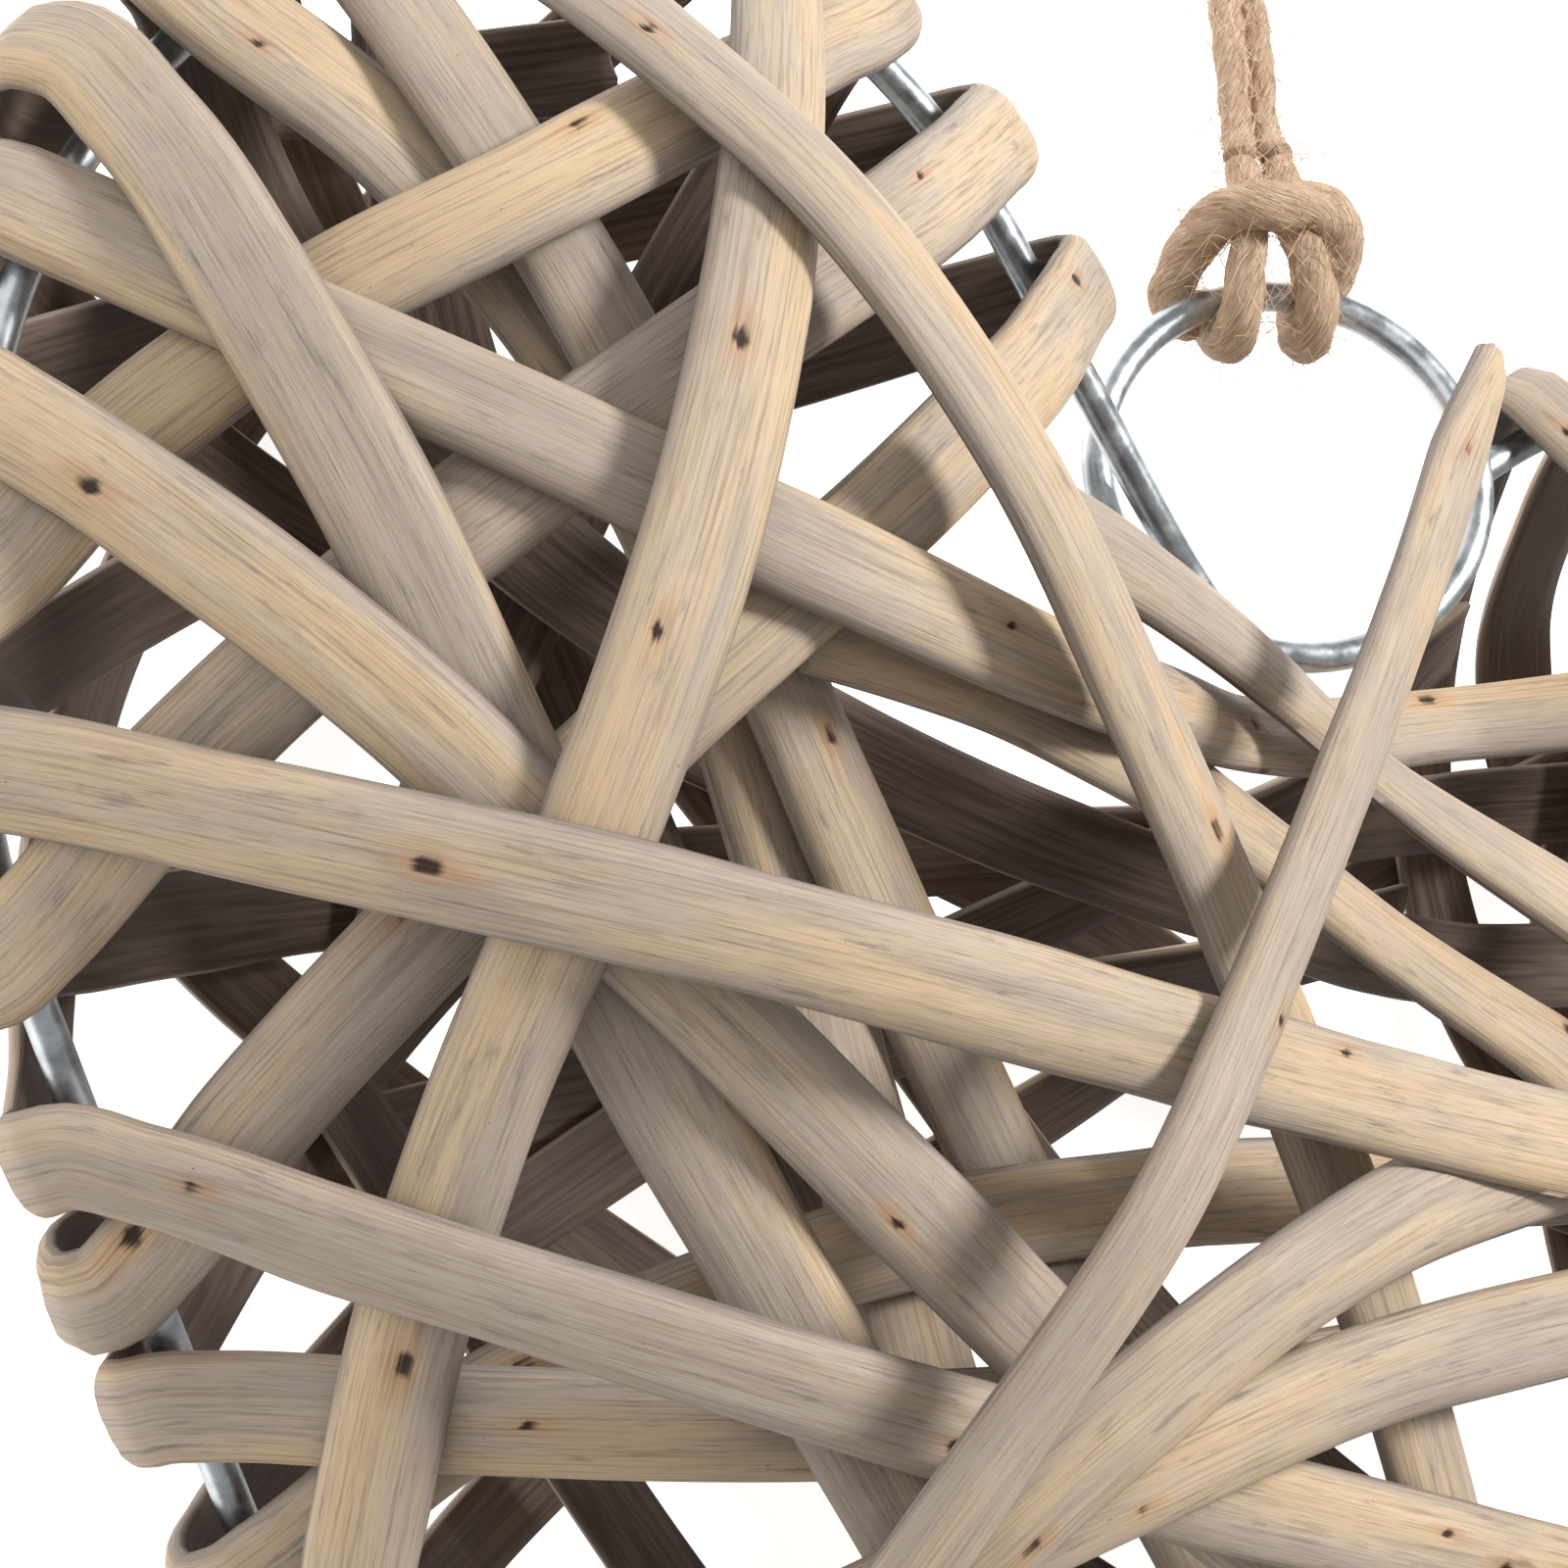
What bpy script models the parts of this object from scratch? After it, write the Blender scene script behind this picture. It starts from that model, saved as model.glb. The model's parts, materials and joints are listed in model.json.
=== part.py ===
"""A hanging heart of split willow, wound criss-cross over a heart of galvanised wire.

The heart lies on its back. X runs across it, Y towards the two lobes, Z up through its front.
Sizes are in millimetres and become metres where a mesh is made.
"""

from math import cos, hypot, pi, radians, sin

import bmesh
import bpy
import numpy as np

MM = 0.001

# The outline, bent from one wire: cleft, limb, lobe, flank, straight side and tip
WIRE_DIAMETER = 3.0
CLEFT_DEPTH = 10.5
CLEFT_RADIUS = 10.0
CLEFT_RISE = 40.0
CLEFT_LIMB = 28.0
LOBE_RADIUS = 45.0
FLANK_RADIUS = 62.0
SIDE_ANGLE = 37.5
TIP_RADIUS = 5.0
# The cleft is pulled aside in the plane: how far, where along the wire to the right of its bottom,
# and how far along the wire the pull is felt to the left and to the right of that place
CLEFT_PULL = (6.0, -10.6)
PULL_AT = 11.1
PULL_REACH_LEFT = 17.1
PULL_REACH_RIGHT = 18.1

# The ring linked round the wire in the cleft: its right side leans to the front, its top to the back
RING_OUTER_DIAMETER = 33.1
RING_WIRE_DIAMETER = 3.0
RING_LEAN = 30.0
RING_TILT = 12.7
# Where the two touch: how far along the wire to the left of the cleft's bottom, and where on the
# ring, counted from its right side over its top
TOUCH_AT = 8.8
TOUCH_ANGLE = 216.0

# The willow strips, half round, with their flat side inwards
STRIP_THICKNESS = 2.1
SHOULDER_AT = 0.62
SHOULDER_THICKNESS = 0.86
FOLDS_PER_HALF = 27.0
FOLD_DRIFT = 4.5

# The puffed form: how high the lowest strips rise over the wire, and how far in that takes
DOME_HEIGHT = 28.0
DOME_REACH = 50.0

# Room left between pieces that touch
CLEARANCE = 0.4

# The jute twine: its hitch on the ring, and its two strands with the loop at their end
TWINE_DIAMETER = 2.5
STRAND_SPACING = 3.0
# How far round the ring, to the left of its top, the hitch sits, in degrees
HITCH_TURN = 14.0
HITCH_TOP = 10.0
# Room left between the hitch and the ring's wire, and between the hitch and the twine's strands
HITCH_SLACK = 0.8
STRAND_GAP = 0.7
# Room between the floor and the twine's loop
LYING_GAP = 0.8
BAR_HEIGHT = 4.3
# The hitch's slack beside its bar as (across, outwards, share of the way from behind the ring's
# wire to its front): wide on the left, tighter on the right
LOOSE_SIDE = (
    (-5.6, -0.3, -1.0),
    (-6.9, 0.9, -0.75),
    (-6.6, 2.4, -0.1),
    (-5.5, 3.9, 0.8),
    (-3.4, 4.7, 1.5),
)
TIGHT_SIDE = ((3.4, 4.9, 1.45), (5.4, 4.2, 0.8), (6.1, 3.0, -0.1), (5.4, 1.4, -0.9))
# One strand from the hitch's top down round the ring's wire: (further out than the strand, share
# of the hitch's height, share of the wrap's radius outwards, share of it forwards)
HITCH_LEG = (
    (0.0, 1.0, 0.0, 0.6),
    (0.0, 0.72, 0.0, 0.85),
    (0.3, 0.4, 0.0, 1.0),
    (1.2, 0.0, 0.0, 1.0),
    (1.5, 0.0, -0.72, 0.72),
    (1.6, 0.0, -1.0, 0.0),
    (1.7, 0.0, -0.72, -0.72),
    (2.3, 0.0, 0.1, -1.0),
)
HITCH_STEP = 1.8
# Each place on the strands' way: how far beyond the hitch, how far sideways, how high between
# the floor and the ring, and how far apart the two strands are
TWINE_ROUTE = (
    (5.0, 0.1, 0.94, 3.0),
    (11.0, 0.5, 0.85, 3.1),
    (17.0, 1.4, 0.73, 3.2),
    (23.0, 2.0, 0.58, 3.2),
    (29.0, 2.3, 0.42, 3.3),
    (34.0, 2.5, 0.27, 3.4),
    (39.0, 2.6, 0.13, 3.6),
    (45.0, 2.8, 0.03, 4.2),
    (51.0, 3.0, 0.0, 5.4),
    (57.0, 3.2, 0.0, 7.0),
    (62.0, 3.3, 0.0, 6.6),
)
TWINE_STEP = 5.5
RING_CORNERS = 32


# Each strip has its width at both ends, the side of its first pass, how much of its first and
# last pass there is before a cut end, and its route. A route is the fold stations it visits in
# turn, counted along the wire from the cleft, round by the left lobe. Its passes lie by turns on
# the front and on the back. With each station stands the pass that leaves it: its bow and skew as
# shares of its chord, and its rank in the pile. A cut end only heads for its station.
BACK = -1
FRONT = 1
ROUTES = {
    "willow_strip_1": ((7.6, 6.8), BACK, (0.75, 0.80), (
        (4.5, 0.0, 0.0, 10), (9.9, 0.01, -0.04, 11), (29.5, 0.0, 0.0, 13), (19.0, 0.09, 0.01, 15),
        (5.5, 0.0, 0.0, 16), (15.6, -0.01, -0.02, 17), (37.3, 0.0, 0.0, 12), (47.7, 0.04, 0.0, 7),
        (28.3, 0.0, 0.0, 6), (21.6, 0.0, 0.0, 0))),
    "willow_strip_2": ((7.0, 7.4), BACK, (0.75, 0.69), (
        (41.7, 0.0, 0.0, 9), (46.6, 0.14, 0.0, 10), (10.7, 0.0, 0.0, 11), (40.4, 0.06, 0.0, 12),
        (50.9, 0.0, 0.0, 13), (39.4, -0.11, 0.04, 14), (11.7, 0.0, 0.0, 0))),
    "willow_strip_3": ((7.4, 7.6), BACK, (0.70, 0.72), (
        (19.5, 0.0, 0.0, 7), (4.5, -0.06, 0.03, 8), (12.7, 0.0, 0.0, 13), (35.3, 0.06, 0.0, 18),
        (49.8, 0.0, 0.0, 20), (41.4, 0.03, 0.01, 21), (13.5, 0.0, 0.0, 15), (2.4, -0.09, 0.02, 9),
        (16.3, 0.0, 0.0, 5), (44.1, 0.0, 0.0, 0))),
    "willow_strip_4": ((7.2, 7.6), BACK, (0.70, 0.60), (
        (18.2, 0.0, 0.0, 18), (31.0, -0.09, -0.04, 16), (7.6, 0.0, 0.0, 8), (33.1, 0.06, 0.15, 1),
        (9.1, -0.14, 0.0, 2), (43.5, 0.08, 0.03, 4), (17.1, 0.0, 0.0, 3), (1.2, 0.0, 0.0, 0))),
    "willow_strip_5": ((5.0, 7.6), FRONT, (1.14, 0.76), (
        (54.45, -0.145, 0.05, 22), (22.9, 0.0, 0.0, 14), (34.2, -0.05, 0.0, 5), (48.8, 0.0, 0.0, 6),
        (38.4, -0.11, 0.02, 6), (12.4, 0.0, 0.0, 0))),
    "willow_strip_6": ((7.4, 6.8), BACK, (0.70, 0.80), (
        (49.5, 0.0, 0.0, 19), (42.6, -0.06, 0.12, 19), (19.9, 0.0, 0.0, 17), (45.6, 0.06, 0.2, 3),
        (18.1, 0.0, 0.0, 4), (47.7, 0.0, 0.0, 0))),
    "willow_strip_7": ((7.2, 7.6), BACK, (0.70, 0.70), (
        (12.0, 0.0, 0.0, 1), (32.0, 0.0, -0.02, 2), (8.3, 0.0, 0.0, 12), (36.4, 0.09, 0.05, 13),
        (11.7, 0.0, 0.0, 10), (3.5, -0.08, 0.03, 7), (14.5, 0.0, 0.0, 9), (44.5, -0.11, 0.22, 20),
        (21.5, 0.0, 0.0, 21), (32.5, 0.0, 0.0, 0))),
}


# The outline's pieces as (length, turn to the left), from the cleft's bottom up the right side


def outline_pieces():
    rise = radians(CLEFT_RISE)
    side = radians(SIDE_ANGLE)
    lobe_turn = rise + pi / 2
    tip_turn = pi / 2 - side
    pieces = [
        (CLEFT_RADIUS * rise, rise),
        (CLEFT_LIMB, 0.0),
        (LOBE_RADIUS * lobe_turn, -lobe_turn),
        (FLANK_RADIUS * side, -side),
    ]
    point, heading = cleft_start()
    for length, turn in pieces:
        point, heading = run_along(point, heading, length, turn, length)
    straight = (point[0] - TIP_RADIUS * cos(side)) / sin(side)
    pieces.append((straight, 0.0))
    pieces.append((TIP_RADIUS * tip_turn, -tip_turn))
    return pieces


def cleft_start():
    return np.array([0.0, -CLEFT_DEPTH]), 0.0


def run_along(point, heading, length, turn, distance):
    """The place and heading after a distance along one straight or round piece."""
    if turn == 0.0:
        return point + distance * np.array([cos(heading), sin(heading)]), heading
    radius = length / turn
    centre = point + radius * np.array([-sin(heading), cos(heading)])
    heading = heading + turn * distance / length
    return centre - radius * np.array([-sin(heading), cos(heading)]), heading


PIECES = outline_pieces()
HALF_LENGTH = sum(length for length, turn in PIECES)
STATION = HALF_LENGTH / FOLDS_PER_HALF


def right_half(distance):
    point, heading = cleft_start()
    for length, turn in PIECES:
        if distance <= length:
            break
        point, heading = run_along(point, heading, length, turn, length)
        distance -= length
    else:
        length, turn = 1.0, 0.0
    return run_along(point, heading, length, turn, distance)


def pull_at(rightwards):
    """The pull's share felt at a distance to the right of the cleft's bottom, and how fast it changes."""
    away = rightwards - PULL_AT
    reach = PULL_REACH_LEFT if away < 0 else PULL_REACH_RIGHT
    left_over = max(0.0, 1 - (away / reach) ** 2)
    return left_over**2, -4 * left_over * away / reach**2


def wire_at(distance):
    """The wire's place and direction, counted from the cleft round by the left lobe."""
    distance = distance % (2 * HALF_LENGTH)
    if distance <= HALF_LENGTH:
        rightwards = -distance
        point, heading = right_half(distance)
        point = np.array([-point[0], point[1]])
        direction = np.array([-cos(heading), sin(heading)])
    else:
        rightwards = 2 * HALF_LENGTH - distance
        point, heading = right_half(rightwards)
        direction = -np.array([cos(heading), sin(heading)])
    share, change = pull_at(rightwards)
    direction = direction - change * np.array(CLEFT_PULL)
    return point + share * np.array(CLEFT_PULL), direction / hypot(*direction)


CORNER_TURN = 9.0
PULLED_STEP = 2.5


def outline_corners():
    """Places along the whole wire, close together on its arcs and none between on its straights."""
    marks = [0.0]
    done = 0.0
    for length, turn in PIECES:
        steps = max(1, round(abs(turn) / radians(CORNER_TURN)))
        if done < PULL_AT + PULL_REACH_RIGHT:
            steps = max(steps, round(length / PULLED_STEP))
        marks += [done + length * (step + 1) / steps for step in range(steps)]
        done += length
    other_half = [2 * HALF_LENGTH - mark for mark in reversed(marks[1:-1])]
    return [wire_at(mark)[0] for mark in marks + other_half]


# The puffed form over the outline: a height that rises with the distance from the wire

SAMPLES = 360
SAMPLE_GAP = 2 * HALF_LENGTH / SAMPLES
OUTLINE = np.array([wire_at(index * SAMPLE_GAP)[0] for index in range(SAMPLES)])
NEARNESS_POWER = 9
LEAST_AWAY = 0.5
SLOPE_STEP = 0.5
# What the sum below gives beside an endless straight wire at a distance of one
STRAIGHT_WIRE_SUM = 32 / 35


def dome(points):
    """Height of the lowest strips over the wire's plane, level in the middle and smooth throughout."""
    away = np.hypot(points[:, None, 0] - OUTLINE[:, 0], points[:, None, 1] - OUTLINE[:, 1])
    nearness = (np.maximum(away, LEAST_AWAY) ** -NEARNESS_POWER).sum(axis=1) * SAMPLE_GAP
    inside = (STRAIGHT_WIRE_SUM / nearness) ** (1 / (NEARNESS_POWER - 1))
    share = np.minimum(inside / DOME_REACH, 1.0)
    return DOME_HEIGHT * (1 - (1 - share) ** 2)


def dome_slope(points):
    across = dome(points + [SLOPE_STEP, 0.0]) - dome(points - [SLOPE_STEP, 0.0])
    along = dome(points + [0.0, SLOPE_STEP]) - dome(points - [0.0, SLOPE_STEP])
    return np.column_stack([across, along]) / (2 * SLOPE_STEP)


# The ring, in its own frame: across its top, outwards from its middle, and forwards


def unit(vector):
    return vector / np.linalg.norm(vector)


RING_RADIUS = (RING_OUTER_DIAMETER - RING_WIRE_DIAMETER) / 2
LEAN = radians(RING_LEAN)
TILT = radians(RING_TILT)
RING_ACROSS = np.array([cos(LEAN), 0.0, sin(LEAN)])
RING_UP = np.array([sin(LEAN) * sin(TILT), cos(TILT), -cos(LEAN) * sin(TILT)])
RING_FORWARD = np.cross(RING_ACROSS, RING_UP)


def ring_centre():
    """The ring's centre, from the place where the ring and the wire cross side by side."""
    place_on_wire, direction = wire_at(TOUCH_AT)
    angle = radians(TOUCH_ANGLE)
    outwards = cos(angle) * RING_ACROSS + sin(angle) * RING_UP
    along_ring = cos(angle) * RING_UP - sin(angle) * RING_ACROSS
    apart = unit(np.cross([*direction, 0.0], along_ring))
    apart = apart * np.sign(apart @ outwards)
    between_middles = (WIRE_DIAMETER + RING_WIRE_DIAMETER) / 2 + CLEARANCE
    place_on_ring = np.array([*place_on_wire, 0.0]) + between_middles * apart
    return place_on_ring - RING_RADIUS * outwards


RING_CENTRE = ring_centre()


def ring_at(angle):
    return RING_CENTRE + RING_RADIUS * (cos(angle) * RING_ACROSS + sin(angle) * RING_UP)


RING_SAMPLES = 60
RING = np.array([ring_at(2 * pi * index / RING_SAMPLES) for index in range(RING_SAMPLES)])

# What a strip must pass over beside other strips: places in space, each with its wire's radius
BARS = np.vstack([
    np.column_stack([OUTLINE, np.zeros(SAMPLES), np.full(SAMPLES, WIRE_DIAMETER / 2)]),
    np.column_stack([RING, np.full(RING_SAMPLES, RING_WIRE_DIAMETER / 2)]),
])


# A pass is one run of a strip over the front or the back, from one fold to the next

LONGEST_SEGMENT = 15.0
FEWEST_SEGMENTS = 6
MOST_SEGMENTS = 11
CROWDING = 0.45


class Pass:
    def __init__(self, side, start, end, bow, skew, rank, shown, width):
        self.side = side
        self.rank = rank
        self.width = width
        # A pass ends in a fold on the wire, or else in a cut end, which is held if it lies beyond it
        self.folded = (shown[0] == 0.0, shown[1] == 1.0)
        self.held = (shown[0] <= 0.0, shown[1] >= 1.0)
        self.straight = shown[0] < 0.0
        chord = end - start
        length = hypot(*chord)
        segments = round(length / LONGEST_SEGMENT) + 1
        segments = min(MOST_SEGMENTS, max(FEWEST_SEGMENTS, segments))
        even = np.linspace(0.0, 1.0, segments + 1)
        # Closer together near the folds, where a strip bends most
        eased = CROWDING * (1 - np.cos(pi * even)) / 2 + (1 - CROWDING) * even
        share = shown[0] + (shown[1] - shown[0]) * eased
        self.share = share
        across = np.array([-chord[1], chord[0]])
        off_chord = 4 * share * (1 - share) * (bow + skew * (1 - 2 * share))
        self.plan = start + np.outer(share, chord) + np.outer(off_chord, across)
        self.measure()

    def measure(self):
        steps = np.diff(self.plan, axis=0)
        self.gaps = np.hypot(*steps.T)
        self.along = np.concatenate([[0.0], np.cumsum(self.gaps)])
        ahead = steps / self.gaps[:, None]
        direction = np.vstack([ahead[:1], ahead[:-1] + ahead[1:], ahead[-1:]])
        self.direction = direction / np.hypot(*direction.T)[:, None]
        self.across = np.column_stack([-self.direction[:, 1], self.direction[:, 0]])
        slope = dome_slope(self.plan)
        self.tilt = (slope * self.across).sum(axis=1)
        for end, folded in zip((0, -1), self.folded):
            if folded:
                self.tilt[end] = 0.0
        self.steepness = np.sqrt(1 + (slope**2).sum(axis=1))
        base = dome(self.plan)
        self.natural = base + END_HEIGHT * (1 - base / DOME_HEIGHT)
        if self.straight:
            rising = self.share < RISEN_AT
            ends = [0, np.flatnonzero(rising)[-1] + 1]
            levels = np.interp(self.share[rising], self.share[ends], self.natural[ends])
            self.natural[rising] = levels
        self.height = self.natural.copy()
        self.low = self.plan.min(axis=0) - self.width
        self.high = self.plan.max(axis=0) + self.width


# A strip stays this far over the wire's middle where it comes to a fold
END_HEIGHT = 1.6 * (WIRE_DIAMETER / 2 + CLEARANCE)
SPRING = 1.5
# A pass with an end beyond the wire rises straight from there until this share of its chord, and
# is held less firmly to its arch
RISEN_AT = 0.3
STRAIGHT_SPRING = 0.3
BENDING = 0.04
END_HOLD = 60.0
# The length at which bending counts as stated above
USUAL_CHORD = 150.0


def bending_inverse(one):
    """How a pass gives way to a push: stiff against bending, held to its natural arch and its ends."""
    count = len(one.plan)
    bend = np.zeros((count - 2, count))
    for k in range(1, count - 1):
        before, after = one.gaps[k - 1], one.gaps[k]
        bend[k - 1, k - 1] = 2 / (before * (before + after))
        bend[k - 1, k] = -2 / (before * after)
        bend[k - 1, k + 1] = 2 / (after * (before + after))
    stiffness = BENDING * (USUAL_CHORD * one.along[-1]) ** 2 * bend.T @ bend / count
    stiffness += (STRAIGHT_SPRING if one.straight else SPRING) * np.eye(count)
    for end, held in zip((0, -1), one.held):
        if held:
            stiffness[end, end] += END_HOLD
    return np.linalg.inv(stiffness)


def beside(one, points):
    """For each point: weights of the pass's heights there, how far across it lies, tilt, steepness."""
    starts = one.plan[:-1]
    steps = np.diff(one.plan, axis=0)
    reach = points[:, None, :] - starts[None]
    share = np.clip((reach * steps).sum(axis=2) / (steps**2).sum(axis=1), 0, 1)
    feet = starts + share[..., None] * steps
    away = np.hypot(points[:, None, 0] - feet[..., 0], points[:, None, 1] - feet[..., 1])
    k = away.argmin(axis=1)
    row = np.arange(len(points))
    t = share[row, k]
    across = one.across[k] * (1 - t)[:, None] + one.across[k + 1] * t[:, None]
    weights = np.zeros((len(points), len(one.plan)))
    weights[row, k] = 1 - t
    weights[row, k + 1] += t
    sideways = ((points - feet[row, k]) * across).sum(axis=1)
    tilt = one.tilt[k] * (1 - t) + one.tilt[k + 1] * t
    steep = one.steepness[k] * (1 - t) + one.steepness[k + 1] * t
    return weights, sideways, tilt, steep, away[row, k]


EDGE_MARGIN = 0.9
EDGE_SHARE = 0.15
SAMPLE_STEP = 3.0


def thickness_across(sideways, width):
    share = np.abs(sideways) / (width / 2 + EDGE_MARGIN)
    return STRIP_THICKNESS * np.interp(share, [0, SHOULDER_AT, 1], [1, SHOULDER_THICKNESS, EDGE_SHARE])


def lines_along(one):
    """Points along a pass: down its middle and down both its edges."""
    marks = np.linspace(0, one.along[-1], max(10, int(one.along[-1] / SAMPLE_STEP)))
    centre = np.column_stack([np.interp(marks, one.along, one.plan[:, i]) for i in (0, 1)])
    across = np.column_stack([np.interp(marks, one.along, one.across[:, i]) for i in (0, 1)])
    return [centre + across * edge * one.width for edge in (-0.5, 0.0, 0.5)]


def bar_rules(one):
    """Rules (the pass, nothing under it, weights, no weights, height needed) over wire and ring."""
    rules = []
    for points in lines_along(one):
        away = np.hypot(points[:, None, 0] - BARS[:, 0], points[:, None, 1] - BARS[:, 1])
        near = (away < BARS[:, 3] + EDGE_MARGIN).any(axis=1)
        if not near.any():
            continue
        weights, sideways, tilt, steep, _ = beside(one, points[near])
        within = away[near] < BARS[:, 3] + EDGE_MARGIN
        tops = np.where(within, one.side * BARS[:, 2] + BARS[:, 3], 0.0).max(axis=1)
        room = tops + CLEARANCE * steep - tilt * sideways
        rules += [(one, None, row, None, needed) for row, needed in zip(weights, room)]
    return rules


def crossing_rules(upper, lower):
    """Rules (both passes, both weights, room between their flat sides) where they cross."""
    rules = []
    if (lower.low > upper.high).any() or (lower.high < upper.low).any():
        return rules
    for first, second in ((upper, lower), (lower, upper)):
        for points in lines_along(first):
            near = beside(second, points)[4] < second.width / 2 + EDGE_MARGIN
            if not near.any():
                continue
            up_weights, up_side, up_tilt, up_steep, _ = beside(upper, points[near])
            low_weights, low_side, low_tilt, low_steep, _ = beside(lower, points[near])
            steep = np.maximum(up_steep, low_steep)
            room = (thickness_across(low_side, lower.width) + CLEARANCE) * steep
            room += low_tilt * low_side - up_tilt * up_side
            rules += [(upper, lower, *row) for row in zip(up_weights, low_weights, room)]
    return rules


MOST_SWEEPS = 90
SETTLED = 0.01


def settle(passes):
    """Finds each pass's heights: its own arch, pushed up and down until every crossing has room."""
    passes = sorted(passes, key=lambda one: one.rank)
    rules = []
    for upper_index, upper in enumerate(passes):
        upper.give = bending_inverse(upper)
        for end, folded in zip((0, -1), upper.folded):
            if folded:
                weights = np.zeros(len(upper.plan))
                weights[end] = 1.0
                rules.append((upper, None, weights, None, END_HEIGHT))
        rules += bar_rules(upper)
        for lower in passes[:upper_index]:
            rules += crossing_rules(upper, lower)
    lifts = [upper.give @ up_weights for upper, lower, up_weights, low_weights, room in rules]
    drops = [None if lower is None else lower.give @ low_weights
             for upper, lower, up_weights, low_weights, room in rules]
    forces = np.zeros(len(rules))
    for sweep in range(MOST_SWEEPS):
        worst = 0.0
        for index, (upper, lower, up_weights, low_weights, room) in enumerate(rules):
            gap = up_weights @ upper.height - room
            ease = up_weights @ lifts[index]
            if lower is not None:
                gap -= low_weights @ lower.height
                ease += low_weights @ drops[index]
            if gap >= 0 and forces[index] == 0:
                continue
            change = max(0.0, forces[index] - gap / ease) - forces[index]
            forces[index] += change
            upper.height = upper.height + lifts[index] * change
            if lower is not None:
                lower.height = lower.height - drops[index] * change
            worst = max(worst, abs(change) * ease)
        if worst < SETTLED:
            break


# From routes to passes


MOST_LEAN = 1.6
SMALL = 0.01


def drift_at(station, heading):
    """How far along the wire a strip travels while it folds round it."""
    along = wire_at(station * STATION)[1]
    inwards = np.array([-along[1], along[0]])
    lean = (heading @ along) / max(SMALL, abs(heading @ inwards))
    return FOLD_DRIFT * max(-MOST_LEAN, min(MOST_LEAN, lean))


def route_passes(widths, first_side, cut_shares, route):
    stations = [stop[0] for stop in route]
    places = [wire_at(station * STATION)[0] for station in stations]
    headings = [unit(after - before) for before, after in zip(places, places[1:])]
    drifts = [0.0]
    for k in range(1, len(stations) - 1):
        both = drift_at(stations[k], headings[k - 1]) + drift_at(stations[k], headings[k])
        drifts.append(both / 2)
    drifts.append(0.0)
    passes = []
    side = first_side
    last = len(stations) - 2
    for k in range(last + 1):
        start = wire_at(stations[k] * STATION + drifts[k] / 2)[0]
        end = wire_at(stations[k + 1] * STATION - drifts[k + 1] / 2)[0]
        shown = (1 - cut_shares[0] if k == 0 else 0.0, cut_shares[1] if k == last else 1.0)
        bow, skew, rank = route[k][1:]
        width = widths[0] + (widths[1] - widths[0]) * (k + 0.5) / (last + 1)
        passes.append(Pass(side, start, end, bow, skew, rank, shown, width))
        side = -side
    return passes


# From passes to one strip in space: its middle line, its outward normals and its places along it


def pass_path(one):
    points = np.column_stack([one.plan, one.side * one.height])
    tangents = np.gradient(points, one.along, axis=0)
    tangents = np.array([unit(tangent) for tangent in tangents])
    level = np.column_stack([one.across, one.side * one.tilt])
    normals = []
    for tangent, sideways in zip(tangents, level):
        normal = unit(np.cross(tangent, sideways))
        normals.append(normal * np.sign(normal[2]) * one.side)
    return points, tangents, np.array(normals)


FOLD_STEPS = 4
FOLD_HANDLE = 0.95


def fold_path(before, after):
    """A strip's loop round the wire, from the end of one pass to the start of the next."""
    start, start_heading = before[0][-1], before[1][-1]
    end, end_heading = after[0][0], after[1][0]
    handle = FOLD_HANDLE * np.linalg.norm(end - start)
    controls = (start, start + start_heading * handle, end - end_heading * handle, end)
    points = []
    tangents = []
    for step in range(FOLD_STEPS + 1):
        t = step / FOLD_STEPS
        a, b, c, d = controls
        points.append((1 - t) ** 3 * a + 3 * t * (1 - t) ** 2 * b + 3 * t**2 * (1 - t) * c + t**3 * d)
        tangents.append(unit((1 - t) ** 2 * (b - a) + 2 * t * (1 - t) * (c - b) + t**2 * (d - c)))
    middle = (start[:2] + end[:2]) / 2
    nearest = np.hypot(*(OUTLINE - middle).T).argmin()
    along = wire_at(nearest * SAMPLE_GAP)[1]
    wire_direction = np.array([along[0], along[1], 0.0])
    normals = []
    for point, tangent in zip(points, tangents):
        normal = unit(np.cross(wire_direction, tangent))
        outwards = point - np.array([middle[0], middle[1], 0.0])
        normals.append(normal * np.sign(normal @ outwards))
    return np.array(points), np.array(tangents), np.array(normals)


def strip_path(passes):
    paths = [pass_path(one) for one in passes]
    points, tangents, normals = [list(column) for column in paths[0]]
    for before, after in zip(paths, paths[1:]):
        fold = fold_path(before, after)
        # The fold's two ends take the place of the last and the first point of its passes
        for kept, from_fold, from_pass in zip((points, tangents, normals), fold, after):
            kept.pop()
            kept += list(from_fold)
            kept += list(from_pass[1:])
    return np.array(points), np.array(tangents), np.array(normals)


# Meshes and materials


def clear_scene():
    for old in list(bpy.data.objects):
        bpy.data.objects.remove(old, do_unlink=True)


def new_material(name, colour, roughness, metallic=0.0):
    material = bpy.data.materials.new(name)
    material.use_nodes = True
    shader = material.node_tree.nodes["Principled BSDF"]
    shader.inputs["Base Color"].default_value = (*colour, 1.0)
    shader.inputs["Roughness"].default_value = roughness
    shader.inputs["Metallic"].default_value = metallic
    material.diffuse_color = (*colour, 1.0)
    return material


def place(name, data, material, collection):
    placed = bpy.data.objects.new(name, data)
    collection.objects.link(placed)
    data.materials.append(material)
    return placed


def half_round_section():
    """The strip's cross-section as (share of half its width, share of its thickness) corners."""
    return ((-1.0, 0.0), (1.0, 0.0), (SHOULDER_AT, SHOULDER_THICKNESS), (0.0, 1.0),
            (-SHOULDER_AT, SHOULDER_THICKNESS))


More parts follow.
